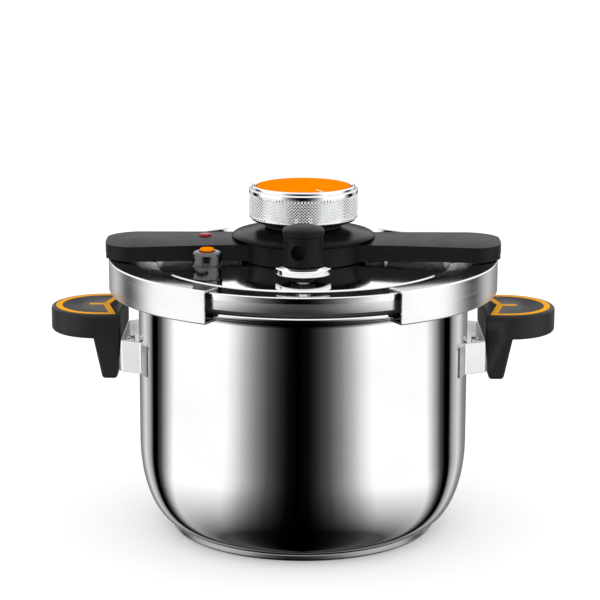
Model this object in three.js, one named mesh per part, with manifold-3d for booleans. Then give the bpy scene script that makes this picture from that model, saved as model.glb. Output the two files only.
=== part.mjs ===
// Clamp-lid pressure canner, in millimetres, +Z up.
// The origin is the centre of the underside of the base, so the canner stands on Z = 0.
// A knob on the bridge turns a slotted cam, which draws two jaws in over the lid and the vessel's rim.
import * as THREE from 'three';
import { mergeVertices } from 'three/addons/utils/BufferGeometryUtils.js';
import Module from 'manifold-3d';

const wasm = await Module();
wasm.setup();

// ---------------------------------------------------------------- driving dimensions

const gap = 0.3;               // between two pieces that touch
const slideGap = 0.5;          // between two pieces that slide or turn on each other

// vessel
const vesselRadius = 121.5;    // outside of the straight wall
const vesselHeight = 186.5;    // rest surface to the top of the rim
const vesselWall = 1.2;
const cornerReach = 27;        // width of the elliptical bottom corner
const cornerHeight = 60;
const rimOverhang = 10.8;      // rim beyond the straight wall
const rimDepth = 5.3;
const neckHeight = 4.2;        // flare between the wall and the rim
const baseProud = 3.5;         // base cap beyond the flat of the vessel's bottom
const baseHeight = 5.1;
const baseCapWall = 0.8;

// lid
const lidSheet = 1.5;
const lidOverhang = 4.7;       // skirt beyond the vessel's rim
const flangeLift = 14.4;       // flat ring of the lid above the vessel's rim
const skirtDrop = 11.4;        // front and back skirt tabs
const curlDrop = 4.6;          // lid edge between the tabs
const flangeReach = 29;        // flat ring round the lid's raised middle
const crownStep = 0.7;
const flangeDish = 1.2;        // flat ring lower at the crown than at its edge
const gasketBodyWidth = 11;
const gasketLip = 5;

// jaws and their arms
const jawSheet = 1.8;
const jawWallGap = 3.9;        // jaw wall clear of the skirt
const jawTopReach = 18;        // top lip, from the jaw's outside
const jawBottomReach = 15.5;
const jawHalfAngle = THREE.MathUtils.degToRad(62);
const jawTravel = 14;
const knobTurn = THREE.MathUtils.degToRad(135);
const pinOrbit = 18;           // cam pin from the axis, jaws shut
const pinRadius = 3;
const armWidth = 24;
const armSheet = 2.5;
const armRivetInset = 11.7;    // rivets from the jaw's outside
const armRivetPitch = 14;
const rivetRadius = 2;
const armTip = 7;              // arm beyond the rivets
const camSheet = 2.5;
const camRim = 1;              // cam beyond its slots

// bridge
const bridgeOverhang = 1.8;    // bridge beyond the jaws
const bridgeEndWidth = 62;
const bridgeCorner = 22;       // round corners of each end
const bridgeWaistWidth = 52;
const bridgeWaistAt = 60;
const bridgeShoulder = 10.8;   // side of the beam, up to its domed top
const bridgeDome = 2.9;
const bridgeWall = 2.6;
const hubRoom = 8.1;           // between the cam and the hub's wall
const bossRadius = 4;
const bossPitch = 120;         // along the beam
const bossToRail = 1.4;
const screwRadius = 2;
const coverOverhang = 5.3;     // cover beyond the hub
const coverEdge = 2.6;
const coverRise = 5.2;         // domed top above its edge
const coverSeat = 1.2;         // cover let into the beam's crown
const railSheet = 1.1;
const railShort = 21.4;        // rail short of the jaw's lip

// knob
const knobRadius = 40;
const knobHeight = 23.6;
const neckLength = 4.9;        // knurled ring above the hub cover
const neckRadius = 28.5;
const ringWall = 3;
const bezelInset = 2;          // bezel in from the ring's outside
const bezelWidth = 3.4;
const bezelHeight = 3.4;
const shaftRadius = 5;

// pressure regulator
const regulatorOut = 17;       // regulator's axis from the hub cover's edge
const ventRadius = 6;
const ventBore = 2;
const collarRadius = 20;
const collarLift = 2.3;        // collar above the lid
const collarHeight = 6;
const padRadius = 8.5;
const padHeight = 1;
const weightRadius = 14.5;
const weightHeight = 28.6;
const weightCapHeight = 8.5;
const portRadius = 5.5;
const portHeight = 10;         // port above the weight's foot
const portTurn = THREE.MathUtils.degToRad(-16);
const ventStandsUp = 12;       // vent above the collar's seat

// spring safety valve
const safetyInset = 11.8;      // valve's axis in from the crown's edge
const safetyAngle = THREE.MathUtils.degToRad(225.4);
const safetyRadius = 10.3;
const safetyHeight = 17.6;
const safetyWall = 2;
const safetyStem = 4.5;
const springWire = 1.1;

// float valve, which shows that there is pressure
const floatOut = 19.5;         // float's axis from the hub cover's edge
const floatPinRadius = 3;
const buttonRadius = 4.6;
const buttonProud = 1.7;
const floatTravel = 4;

// side handles and their brackets
const gripLength = 54;
const gripBelowRim = 21;       // grip's top below the top of the rim
const gripHeight = 18;
const gripHalfWidth = 37;
const apronDepth = 17.2;
const apronDrop = 29.5;        // apron below the grip
const apronTaper = 3.2;        // at the foot, each side
const bracketStandOff = 10.2;  // outer face of the bracket's plate from the vessel's wall
const bracketSheet = 2;
const bracketHalfWidth = 33;   // at the plate
const bracketSplay = 7;        // wider at the vessel than at the plate, each side
const bracketHeight = 23.1;
const bracketBelowGrip = 2;    // bracket's top below the underside of the grip
const flangeWidth = 10;
const inlayInset = 3.2;
const inlayFoot = 4.2;         // inlay from the grip's inner edge
const inlayNotch = 6.8;
const inlayStem = 13;
const inlayWidth = 5;
const inlayDepth = 1.2;
const handleScrewPitch = 32;
const handleScrewRadius = 2.5;

const beyond = 400;            // further out than any piece

// faceting
const roundSides = 48;
const mediumSides = 32;
const smallSides = 12;

// ---------------------------------------------------------------- worked-out sizes

const floorLevel = baseHeight + gap;
const baseRadius = vesselRadius - cornerReach + baseProud;
const rimRadius = vesselRadius + rimOverhang;
const rimUnderside = vesselHeight - rimDepth;
const lidRadius = rimRadius + lidOverhang;
const flangeTop = vesselHeight + flangeLift;
const crownTop = flangeTop + crownStep;
const crownRadius = lidRadius - flangeReach;
const jawRadius = lidRadius + jawWallGap + jawSheet;
const jawTop = flangeTop + gap + jawSheet;
const jawBottom = rimUnderside - gap - jawSheet;
const armBottom = jawTop + gap;
const armTop = armBottom + armSheet;
const camBottom = armTop + slideGap;
const camTop = camBottom + camSheet;
const camRadius = pinOrbit + jawTravel + pinRadius + slideGap + camRim;
const bridgeHalfLength = jawRadius + bridgeOverhang;
const bridgeBottom = jawTop + slideGap;
const bridgeTop = bridgeBottom + bridgeShoulder + bridgeDome;
const cavityTop = bridgeBottom + bridgeShoulder - bridgeWall;
const hubRadius = camRadius + hubRoom + bridgeWall;
const coverRadius = hubRadius + coverOverhang;
const hubBottom = crownTop + gap;
const hubTop = bridgeTop - coverSeat;
const coverBottom = hubTop + gap;
const coverTop = coverBottom + coverEdge + coverRise;
const knobBottom = coverTop + slideGap + neckLength;
const bezelRadius = knobRadius - bezelInset;
const slotHalfWidth = pinRadius + slideGap;
const railHalfWidth = armWidth / 2 + slideGap + railSheet;
const railHeight = armTop - hubBottom;
const railEnd = jawRadius - jawTopReach - railShort;
const bossAt = [bossPitch / 2, railHalfWidth + bossRadius + bossToRail];
const rivetAt = jawRadius - armRivetInset;
const regulatorAt = [0, -coverRadius - regulatorOut];
const safetyAt = polar(crownRadius - safetyInset, safetyAngle);
const floatAt = -coverRadius - floatOut;
const bracketPlate = vesselRadius + bracketStandOff;
const apronInner = bracketPlate + gap;
const apronOuter = apronInner + apronDepth;
const handleReach = apronInner + gripLength;
const gripTop = vesselHeight - gripBelowRim;
const gripBottom = gripTop - gripHeight;
const bracketTop = gripBottom - bracketBelowGrip;
const bracketBottom = bracketTop - bracketHeight;

// ---------------------------------------------------------------- shape helpers

function solidOf(geometry) {
  const bare = geometry.index ? geometry.toNonIndexed() : geometry.clone();
  bare.deleteAttribute('normal');
  bare.deleteAttribute('uv');
  const merged = mergeVertices(bare, 1e-4);
  return new wasm.Manifold(new wasm.Mesh({
    numProp: 3,
    vertProperties: merged.attributes.position.array,
    triVerts: new Uint32Array(merged.index.array),
  }));
}

function geometryOf(solid) {
  const mesh = solid.getMesh();
  const geometry = new THREE.BufferGeometry();
  geometry.setAttribute('position', new THREE.BufferAttribute(mesh.vertProperties, 3));
  geometry.setIndex(new THREE.BufferAttribute(mesh.triVerts, 1));
  return geometry;
}

const join = (first, ...others) => geometryOf(
  others.reduce((sum, other) => sum.add(solidOf(other)), solidOf(first)));

const cut = (body, ...tools) => geometryOf(
  tools.reduce((rest, tool) => rest.subtract(solidOf(tool)), solidOf(body)));

const common = (first, second) => geometryOf(solidOf(first).intersect(solidOf(second)));

// A round piece from [radius, height] points, which run up the outside and back down the bore or axis.
function turned(profile, sides = mediumSides) {
  const points = profile.map(([radius, height]) => new THREE.Vector2(radius, height));
  points.push(points[0].clone());
  return new THREE.LatheGeometry(points, sides).rotateX(Math.PI / 2);
}

const cylinder = (radius, bottom, top, sides = mediumSides) => turned(
  [[0, bottom], [radius, bottom], [radius, top], [0, top]], sides);

const tube = (inner, outer, bottom, top, sides = mediumSides) => turned(
  [[inner, bottom], [outer, bottom], [outer, top], [inner, top]], sides);

const hexNut = (bore, acrossCorners, bottom, top) => cut(
  cylinder(acrossCorners / 2, bottom, top, 6), cylinder(bore, bottom - 1, top + 1, smallSides));

function box(x, y, z) {
  const size = [x, y, z].map(([low, high]) => high - low);
  const middle = [x, y, z].map(([low, high]) => (low + high) / 2);
  return new THREE.BoxGeometry(...size).translate(...middle);
}

// A flat outline in X and Y, given its height.
function plate(outline, bottom, top, curveSegments = 10) {
  const options = { depth: top - bottom, bevelEnabled: false, curveSegments };
  return new THREE.ExtrudeGeometry(outline, options).translate(0, 0, bottom);
}

const placed = (geometry, x, y, z = 0) => geometry.clone().translate(x, y, z);

// A quarter of an ellipse from one [radius, height] point to another, leaving the first one upright.
function quarter(from, to, steps) {
  return Array.from({ length: steps + 1 }, (_, i) => {
    const angle = (i / steps) * Math.PI / 2;
    return [
      to[0] + (from[0] - to[0]) * Math.cos(angle),
      from[1] + (to[1] - from[1]) * Math.sin(angle),
    ];
  });
}

function polar(radius, angle) {
  return [radius * Math.cos(angle), radius * Math.sin(angle)];
}

// ---------------------------------------------------------------- materials

const finish = (color, roughness, metalness) => new THREE.MeshStandardMaterial(
  { color, roughness, metalness });

const polishedSteel = finish(0xd9dadc, 0.12, 1);
const aluminium = finish(0xb9bbbd, 0.45, 1);
const chrome = finish(0xe6e7e9, 0.08, 1);
const bakelite = finish(0x1c1c1e, 0.45, 0);
const orangePlastic = finish(0xff8a00, 0.35, 0);
const orangeRubber = finish(0xf7a01b, 0.5, 0);
const redPlastic = finish(0xc01414, 0.3, 0);
const silicone = finish(0x3a3b3d, 0.6, 0);
const plainSteel = finish(0xa8aaad, 0.3, 1);
const brass = finish(0xc9a24a, 0.3, 1);

const canner = new THREE.Group();

function add(parent, name, geometry, material) {
  const mesh = new THREE.Mesh(geometry, material);
  mesh.name = name;
  parent.add(mesh);
  return mesh;
}

// ---------------------------------------------------------------- vessel

function vesselShell() {
  const outsideCorner = quarter(
    [vesselRadius, floorLevel + cornerHeight], [vesselRadius - cornerReach, floorLevel], 6).reverse();
  const insideCorner = quarter(
    [vesselRadius - vesselWall, floorLevel + cornerHeight],
    [vesselRadius - cornerReach, floorLevel + vesselWall], 6);
  const neckBottom = rimUnderside - neckHeight;
  return turned([
    [0, floorLevel],
    ...outsideCorner,
    [vesselRadius, neckBottom],
    [vesselRadius + 0.8, neckBottom + neckHeight * 0.6],
    [vesselRadius + 2.4, rimUnderside],
    [rimRadius - 1.6, rimUnderside],
    [rimRadius, rimUnderside + 1.6],
    [rimRadius, vesselHeight - 1.6],
    [rimRadius - 1.6, vesselHeight],
    [vesselRadius - vesselWall + 1, vesselHeight],
    [vesselRadius - vesselWall, vesselHeight - 1],
    ...insideCorner,
    [0, floorLevel + vesselWall],
  ], roundSides);
}

function baseCap() {
  const inside = baseRadius - baseCapWall;
  return turned([
    [0, 0], [baseRadius - 1.2, 0], [baseRadius, 1.2], [baseRadius, baseHeight],
    [inside, baseHeight], [inside, baseCapWall], [0, baseCapWall],
  ], roundSides);
}

add(canner, 'vessel_shell', vesselShell(), polishedSteel);
add(canner, 'base_cap', baseCap(), polishedSteel);
add(canner, 'base_core_disc',
  cylinder(baseRadius - baseCapWall - gap, baseCapWall + gap, baseHeight, roundSides), aluminium);

// ---------------------------------------------------------------- side handles

// The bracket's U, open above and below, with two flanges that follow the vessel's wall.
function handleBracket() {
  const footHalfWidth = bracketHalfWidth + bracketSplay;
  const footAt = Math.sqrt(vesselRadius ** 2 - footHalfWidth ** 2);
  // Plan of the U, with walls that spread towards the vessel and run on inside it.
  const plan = sheet => {
    const plateAt = bracketPlate - sheet;
    const splay = bracketSplay / (bracketPlate - footAt);
    const halfWidthAt = x => bracketHalfWidth - sheet + splay * (bracketPlate - x);
    const inner = footAt - 15;
    const outline = new THREE.Shape();
    outline.moveTo(inner, -halfWidthAt(inner));
    outline.lineTo(plateAt, -halfWidthAt(plateAt));
    outline.lineTo(plateAt, halfWidthAt(plateAt));
    outline.lineTo(inner, halfWidthAt(inner));
    return outline;
  };
  const screwHoles = [-1, 1].map(side => crosswise(handleScrewRadius + gap,
    bracketPlate - bracketSheet - 1, bracketPlate + 1, side * handleScrewPitch / 2));
  const frame = cut(
    plate(plan(0), bracketBottom, bracketTop),
    plate(plan(bracketSheet), bracketBottom - 1, bracketTop + 1),
    cylinder(vesselRadius + gap, bracketBottom - 1, bracketTop + 1, roundSides),
    ...screwHoles);
  const skin = tube(
    vesselRadius + gap, vesselRadius + gap + bracketSheet, bracketBottom, bracketTop, roundSides);
  const flangeFrom = footHalfWidth - bracketSheet;
  const flanges = [-1, 1].map(side => common(skin, box(
    [0, bracketPlate], [side * flangeFrom, side * (footHalfWidth + flangeWidth)].sort((a, b) => a - b),
    [bracketBottom, bracketTop])));
  return join(frame, ...flanges);
}

// A round bar along X at the height of the handle's screws.
function crosswise(radius, from, to, y) {
  const bar = cylinder(radius, from, to, smallSides).rotateY(Math.PI / 2);
  return bar.translate(0, y, (bracketBottom + bracketTop) / 2);
}

function gripOutline(inset) {
  const halfWidth = gripHalfWidth - inset;
  const centre = handleReach - gripHalfWidth;
  const outline = new THREE.Shape();
  outline.moveTo(apronInner + inset, -halfWidth);
  outline.lineTo(centre, -halfWidth);
  outline.absarc(centre, 0, halfWidth, -Math.PI / 2, Math.PI / 2, false);
  outline.lineTo(apronInner + inset, halfWidth);
  return outline;
}

// The outline of the inlay: a D with a notch that points outwards on the vessel's side.
function inlayOutline(inset, spread) {
  const halfWidth = gripHalfWidth - inset;
  const centre = handleReach - gripHalfWidth;
  const foot = apronInner + inlayFoot + (inset - inlayInset) * 0.8;
  const outline = new THREE.Shape();
  outline.moveTo(foot - spread, -halfWidth);
  outline.lineTo(centre, -halfWidth);
  outline.absarc(centre, 0, halfWidth, -Math.PI / 2, Math.PI / 2, false);
  outline.lineTo(foot - spread, halfWidth);
  outline.lineTo(foot + inlayNotch - spread, 0);
  return outline;
}

function handleInlay(clearance) {
  const bottom = gripTop - inlayDepth - clearance;
  const top = gripTop + clearance * 4;
  const band = cut(
    plate(inlayOutline(inlayInset - clearance, clearance), bottom, top),
    plate(inlayOutline(inlayInset + inlayWidth + clearance, -clearance), bottom - 1, top + 1));
  const stemFrom = apronInner + inlayFoot + inlayNotch + 2;
  const stemHalfWidth = inlayWidth / 2 + clearance;
  const stem = box(
    [stemFrom, stemFrom + inlayStem + clearance], [-stemHalfWidth, stemHalfWidth], [bottom, top]);
  return join(band, stem);
}

function sideHandle() {
  const edge = 2.2;
  const foot = gripBottom - apronDrop;
  const grip = plate(gripOutline(0), gripBottom + edge, gripTop);
  const underside = plate(gripOutline(edge), gripBottom, gripBottom + edge);
  const side = new THREE.Shape();
  side.moveTo(apronInner, gripBottom + edge + 1);
  side.lineTo(apronInner, bracketBottom);
  side.lineTo(apronInner + apronTaper, foot + edge);
  side.lineTo(apronInner + apronTaper + edge, foot);
  side.lineTo(apronOuter - apronTaper - edge, foot);
  side.lineTo(apronOuter - apronTaper, foot + edge);
  side.lineTo(apronOuter, gripBottom - 2 * edge);
  side.lineTo(apronOuter + 2 * edge, gripBottom + edge + 1);
  const apron = plate(side, -gripHalfWidth, gripHalfWidth).rotateX(Math.PI / 2);
  const fingerRoom = plate(gripOutline(9), gripBottom - 1, gripBottom + 5);
  const behindApron = box([0, apronOuter + 7], [-beyond, beyond], [0, gripTop]);
  const screwHoles = [-1, 1].map(y => crosswise(
    handleScrewRadius + gap, apronInner - 1, apronOuter - 5, y * handleScrewPitch / 2));
  return cut(
    join(grip, underside, apron),
    cut(fingerRoom, behindApron),
    handleInlay(gap),
    ...screwHoles);
}

function handleScrew(y) {
  const plateInside = bracketPlate - bracketSheet;
  return join(
    crosswise(handleScrewRadius, plateInside - 2, apronOuter - 6, y),
    crosswise(handleScrewRadius * 1.8, plateInside - 3.2, plateInside - gap, y));
}

for (const [side, turn] of [['right', 0], ['left', Math.PI]]) {
  const handle = new THREE.Group();
  handle.rotation.z = turn;
  canner.add(handle);
  add(handle, `handle_bracket_${side}`, handleBracket(), polishedSteel);
  add(handle, `side_handle_${side}`, sideHandle(), bakelite);
  add(handle, `handle_inlay_${side}`, handleInlay(0), orangeRubber);
  add(handle, `handle_screw_${side}_front`, handleScrew(-handleScrewPitch / 2), plainSteel);
  add(handle, `handle_screw_${side}_back`, handleScrew(handleScrewPitch / 2), plainSteel);
}

// ---------------------------------------------------------------- lid

const lidUnderside = crownTop - lidSheet;
const bossPlaces = [[1, 1], [1, -1], [-1, 1], [-1, -1]].map(([x, y]) => [x * bossAt[0], y * bossAt[1]]);

function lidShell() {
  const inside = lidRadius - lidSheet;
  const skirtBottom = flangeTop - skirtDrop;
  const shell = turned([
    [0, lidUnderside],
    [crownRadius - 2, lidUnderside],
    [crownRadius, flangeTop - flangeDish - lidSheet],
    [inside, flangeTop - lidSheet],
    [inside, skirtBottom],
    [lidRadius, skirtBottom],
    [lidRadius, flangeTop - 1.6],
    [lidRadius - 1.6, flangeTop],
    [crownRadius + 2, flangeTop - flangeDish],
    [crownRadius, crownTop],
    [0, crownTop],
  ], roundSides);
  // The skirt is cut back behind each jaw, and the tabs between the jaws end in chamfered corners.
  const tabEnd = lidRadius * Math.cos(jawHalfAngle) - slideGap;
  const curlBottom = flangeTop - curlDrop;
  const sideways = (from, x) => [from * x, beyond * x].sort((a, b) => a - b);
  const notches = [-1, 1].flatMap(x => [
    box(sideways(tabEnd, x), [-beyond, beyond], [skirtBottom - 1, curlBottom]),
    box(sideways(tabEnd - 1.5, x), [-beyond, beyond], [skirtBottom - 1, skirtBottom + 1.5]),
  ]);
  return cut(
    shell,
    ...notches,
    placed(cylinder(ventRadius + gap, 0, beyond, smallSides), ...regulatorAt),
    placed(cylinder(safetyStem + gap, 0, beyond, smallSides), ...safetyAt),
    placed(cylinder(floatBushRadius + gap, 0, beyond, smallSides), floatAt, 0),
    ...bossPlaces.map(place => placed(cylinder(screwRadius + gap, 0, beyond, smallSides), ...place)));
}

// A ring with a lip that reaches in over the vessel's rim.
function sealingGasket() {
  const outer = lidRadius - lidSheet - gap;
  const inner = outer - gasketBodyWidth;
  const bottom = vesselHeight + gap;
  const top = flangeTop - flangeDish - lidSheet - gap;
  return turned([
    [inner - gasketLip, bottom],
    [outer - 1, bottom],
    [outer, bottom + 1],
    [outer, top],
    [inner - gasketLip, top],
    [inner - gasketLip, top - 2.4],
    [inner, top - 3.6],
    [inner, bottom + 3],
    [inner - gasketLip, bottom + 1.6],
  ], roundSides);
}

const lid = new THREE.Group();
canner.add(lid);

// ---------------------------------------------------------------- float valve

const floatBushRadius = floatPinRadius + 3;
const floatHeadRadius = floatPinRadius + 2;
const bridgeHole = buttonRadius + slideGap;
const buttonDepth = 3.6;
const bushFlange = 1.8;

function floatPin() {
  const headTop = lidUnderside - bushFlange - floatTravel - gap;
  const buttonBottom = bridgeTop + buttonProud - buttonDepth;
  return turned([
    [0, headTop - 3], [floatHeadRadius, headTop - 3], [floatHeadRadius, headTop],
    [floatPinRadius, headTop], [floatPinRadius, buttonBottom - gap], [0, buttonBottom - gap],
  ], smallSides);
}

function floatBush() {
  const bore = floatPinRadius + slideGap;
  return turned([
    [bore, lidUnderside - bushFlange], [floatBushRadius + 2, lidUnderside - bushFlange],
    [floatBushRadius + 2, lidUnderside - gap], [floatBushRadius, lidUnderside - gap],
    [floatBushRadius, crownTop - 0.2], [bore, crownTop - 0.2],
  ], smallSides);
}

function floatButton() {
  const bottom = bridgeTop + buttonProud - buttonDepth;
  const top = bridgeTop + buttonProud;
  return turned([
    [0, bottom], [buttonRadius, bottom], [buttonRadius, top - 1], [buttonRadius - 1.3, top], [0, top],
  ], mediumSides);
}

// ---------------------------------------------------------------- bridge and hub

function bridgeOutline(inset) {
  const half = bridgeEndWidth / 2 - inset;
  const waist = bridgeWaistWidth / 2 - inset;
  const corner = bridgeCorner - inset;
  const endAt = bridgeHalfLength - bridgeCorner;
  const cornerAt = bridgeEndWidth / 2 - bridgeCorner;
  const outline = new THREE.Shape();
  outline.moveTo(-bridgeWaistAt, -waist);
  outline.lineTo(bridgeWaistAt, -waist);
  outline.lineTo(endAt, -half);
  outline.absarc(endAt, -cornerAt, corner, -Math.PI / 2, 0, false);
  outline.absarc(endAt, cornerAt, corner, 0, Math.PI / 2, false);
  outline.lineTo(bridgeWaistAt, waist);
  outline.lineTo(-bridgeWaistAt, waist);
  outline.lineTo(-endAt, half);
  outline.absarc(-endAt, cornerAt, corner, Math.PI / 2, Math.PI, false);
  outline.absarc(-endAt, -cornerAt, corner, Math.PI, Math.PI * 1.5, false);
  return outline;
}

const hubInside = hubRadius - bridgeWall;
const upperBushRadius = shaftRadius + slideGap + 2;

// One moulding: the beam over the lid and the barrel in the middle that holds the cam.
function bridgeBeam() {
  const widest = bridgeEndWidth / 2;
  const domeRadius = (widest ** 2 + bridgeDome ** 2) / (2 * bridgeDome);
  const dome = cylinder(domeRadius, -bridgeHalfLength - 1, bridgeHalfLength + 1, 2 * roundSides)
    .rotateY(Math.PI / 2).translate(0, 0, bridgeTop - domeRadius);
  const beam = cut(
    common(plate(bridgeOutline(0), bridgeBottom, bridgeTop + 1), dome),
    cylinder(coverRadius + slideGap, hubTop, beyond, mediumSides));
  const hollow = cut(
    join(beam, cylinder(hubRadius, hubBottom, hubTop, mediumSides)),
    plate(bridgeOutline(bridgeWall), bridgeBottom - 5, cavityTop),
    cylinder(hubInside, hubBottom - 1, cavityTop, mediumSides),
    box([-bridgeHalfLength - 1, bridgeHalfLength + 1], [-railHalfWidth - slideGap, railHalfWidth + slideGap],
      [hubBottom - 1, armTop + 1.4]));
  const bosses = bossPlaces.map(([x, y]) => placed(
    cylinder(bossRadius, hubBottom, cavityTop + 0.5, smallSides), x, y));
  return cut(
    join(hollow, ...bosses),
    cylinder(upperBushRadius + gap, hubBottom, beyond, smallSides),
    placed(cylinder(bridgeHole, cavityTop - 1, beyond, smallSides), floatAt, 0),
    ...bossPlaces.map(([x, y]) => placed(
      cylinder(screwRadius + gap, 0, cavityTop - 1, smallSides), x, y)));
}

function bridgeScrew([x, y]) {
  const headTop = lidUnderside - gap;
  return placed(turned([
    [0, headTop - 2.2], [screwRadius * 2, headTop - 2.2], [screwRadius * 2, headTop],
    [screwRadius, headTop], [screwRadius, cavityTop - 2], [0, cavityTop - 2],
  ], smallSides), x, y);
}

// The saucer over the hub, which keeps spray off the shaft.
function hubCover() {
  const flatRadius = neckRadius + 3;
  return turned([
    [upperBushRadius + gap, coverBottom],
    [coverRadius - 2.5, coverBottom],
    [coverRadius, coverBottom + coverEdge * 0.6],
    [coverRadius - 0.8, coverBottom + coverEdge],
    [coverRadius - 9, coverTop - coverRise * 0.38],
    [flatRadius, coverTop],
    [upperBushRadius + gap, coverTop],
  ], mediumSides);
}

// A channel on the lid that keeps an arm straight.
function armRail() {
  const from = hubRadius + gap;
  const outside = box(
    [from, railEnd], [-railHalfWidth, railHalfWidth], [hubBottom, hubBottom + railHeight]);
  const inside = railHalfWidth - railSheet;
  return cut(
    outside,
    box([0, beyond], [-inside, inside], [hubBottom + railSheet, beyond]));
}

// The float pin passes through the left rail.
const floatThroughRail = cylinder(floatPinRadius + slideGap, 0, beyond, smallSides);

add(lid, 'lid_shell', lidShell(), polishedSteel);
add(lid, 'sealing_gasket', sealingGasket(), silicone);
add(lid, 'bridge_beam', bridgeBeam(), bakelite);
add(lid, 'hub_cover', hubCover(), bakelite);
add(lid, 'arm_rail_right', armRail(), plainSteel);
add(lid, 'arm_rail_left',
  cut(armRail().rotateZ(Math.PI), placed(floatThroughRail, floatAt, 0)), plainSteel);
bossPlaces.forEach((place, i) => add(lid, `bridge_screw_${i + 1}`, bridgeScrew(place), plainSteel));

const floatValve = new THREE.Group();
floatValve.position.x = floatAt;
lid.add(floatValve);
add(floatValve, 'float_bush', floatBush(), silicone);
add(floatValve, 'float_pin', floatPin(), plainSteel);
add(floatValve, 'float_button', floatButton(), redPlastic);

// ---------------------------------------------------------------- jaws

// One jaw, on the +X side: a channel bent round the lid's flange and the vessel's rim.
function jawShell() {
  const outside = [[jawRadius, jawBottom + 1], [jawRadius, jawTop - 1], [jawRadius - 1, jawTop]];
  const ring = turned([
    [jawRadius - jawBottomReach, jawBottom],
    [jawRadius - 1, jawBottom],
    ...outside,
    [jawRadius - jawTopReach, jawTop],
    [jawRadius - jawTopReach, jawTop - jawSheet],
    [jawRadius - jawSheet, jawTop - jawSheet],
    [jawRadius - jawSheet, jawBottom + jawSheet],
    [jawRadius - jawBottomReach, jawBottom + jawSheet],
  ], roundSides);
  const sector = new THREE.Shape();
  sector.moveTo(0, 0);
  sector.lineTo(...polar(beyond, -jawHalfAngle));
  sector.lineTo(beyond, -beyond / 2);
  sector.lineTo(beyond, beyond / 2);
  sector.lineTo(...polar(beyond, jawHalfAngle));
  const holes = [-1, 1].map(side => placed(
    cylinder(rivetRadius + gap, 0, beyond, smallSides), rivetAt, side * armRivetPitch / 2));
  return cut(common(ring, plate(sector, jawBottom - 1, jawTop + 1)), ...holes);
}

function slideArm() {
  const from = pinOrbit - pinRadius - 2.5;
  const to = rivetAt + armTip;
  const rivetHoles = [-1, 1].map(side => placed(
    cylinder(rivetRadius + gap, 0, beyond, smallSides), rivetAt, side * armRivetPitch / 2));
  const pinHole = placed(cylinder(pinRadius - 1 + gap, 0, beyond, smallSides), pinOrbit, 0);
  return cut(
    box([from, to], [-armWidth / 2, armWidth / 2], [armBottom, armTop]), ...rivetHoles, pinHole);
}

// The left arm has a slot for the float pin, as long as the jaw's travel.
function floatSlot() {
  const half = floatPinRadius + slideGap;
  const outline = new THREE.Shape();
  outline.moveTo(floatAt, -half);
  outline.lineTo(floatAt + jawTravel, -half);
  outline.absarc(floatAt + jawTravel, 0, half, -Math.PI / 2, Math.PI / 2, false);
  outline.lineTo(floatAt, half);
  outline.absarc(floatAt, 0, half, Math.PI / 2, Math.PI * 1.5, false);
  return plate(outline, armBottom - 1, armTop + 1, 6);
}

// The pin is riveted into the arm and runs in the cam's slot.
function camPin() {
  return placed(turned([
    [0, armBottom + 0.2], [pinRadius - 1, armBottom + 0.2], [pinRadius - 1, armTop + gap],
    [pinRadius, armTop + gap], [pinRadius, camTop + 0.4], [0, camTop + 0.4],
  ], smallSides), pinOrbit, 0);
}

function jawRivet(side) {
  return placed(turned([
    [0, jawTop - jawSheet + 0.1], [rivetRadius, jawTop - jawSheet + 0.1], [rivetRadius, armTop + gap],
    [rivetRadius + 1.2, armTop + gap], [rivetRadius + 0.8, armTop + 1.2], [0, armTop + 1.2],
  ], smallSides), rivetAt, side * armRivetPitch / 2);
}

for (const [side, turn] of [['right', 0], ['left', Math.PI]]) {
  const jaw = new THREE.Group();
  jaw.rotation.z = turn;
  lid.add(jaw);
  const arm = side === 'right' ? slideArm() : cut(slideArm().rotateZ(Math.PI), floatSlot()).rotateZ(-Math.PI);
  add(jaw, `jaw_${side}`, jawShell(), polishedSteel);
  add(jaw, `slide_arm_${side}`, arm, plainSteel);
  add(jaw, `cam_pin_${side}`, camPin(), plainSteel);
  add(jaw, `jaw_rivet_${side}_front`, jawRivet(-1), plainSteel);
  add(jaw, `jaw_rivet_${side}_back`, jawRivet(1), plainSteel);
}

// ---------------------------------------------------------------- cam and knob

// The slot that pushes one pin out as the cam turns: an Archimedean spiral with round ends.
function camSlot(turn) {
  const steps = 10;
  const centre = Array.from({ length: steps + 1 }, (_, i) => {
    const share = i / steps;
    return new THREE.Vector2(...polar(pinOrbit + jawTravel * share, turn - knobTurn * share));
  });
  const offset = (i, side) => {
    const ahead = centre[Math.min(i + 1, steps)];
    const behind = centre[Math.max(i - 1, 0)];
    const along = ahead.clone().sub(behind).normalize();
    return centre[i].clone().add(new THREE.Vector2(-along.y, along.x).multiplyScalar(side * slotHalfWidth));
  };
  const indices = centre.map((_, i) => i);
  const outline = new THREE.Shape([
    ...indices.map(i => offset(i, 1)), ...indices.reverse().map(i => offset(i, -1))]);
  const ends = [centre[0], centre[steps]].map(end => placed(
    cylinder(slotHalfWidth, camBottom - 1, camTop + 1, smallSides), end.x, end.y));
  return join(plate(outline, camBottom - 1, camTop + 1), ...ends);
}

const knob = new THREE.Group();
lid.add(knob);

// Built at its own height, from the underside of the knurled ring.
const knobHead = new THREE.Group();
knobHead.position.z = knobBottom;
knob.add(knobHead);

const ringInside = knobRadius - ringWall;
const bezelBottom = knobHeight - 1;
const bezelInside = bezelRadius - bezelWidth;
const coreTop = bezelBottom - gap;
const discTop = coreTop + 3;
const pointerDepth = 0.8;
const pointerInset = 2.6;
const pointerLength = 11;
const pointerWidth = 1.4;
const pointerTurn = THREE.MathUtils.degToRad(26);

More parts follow.
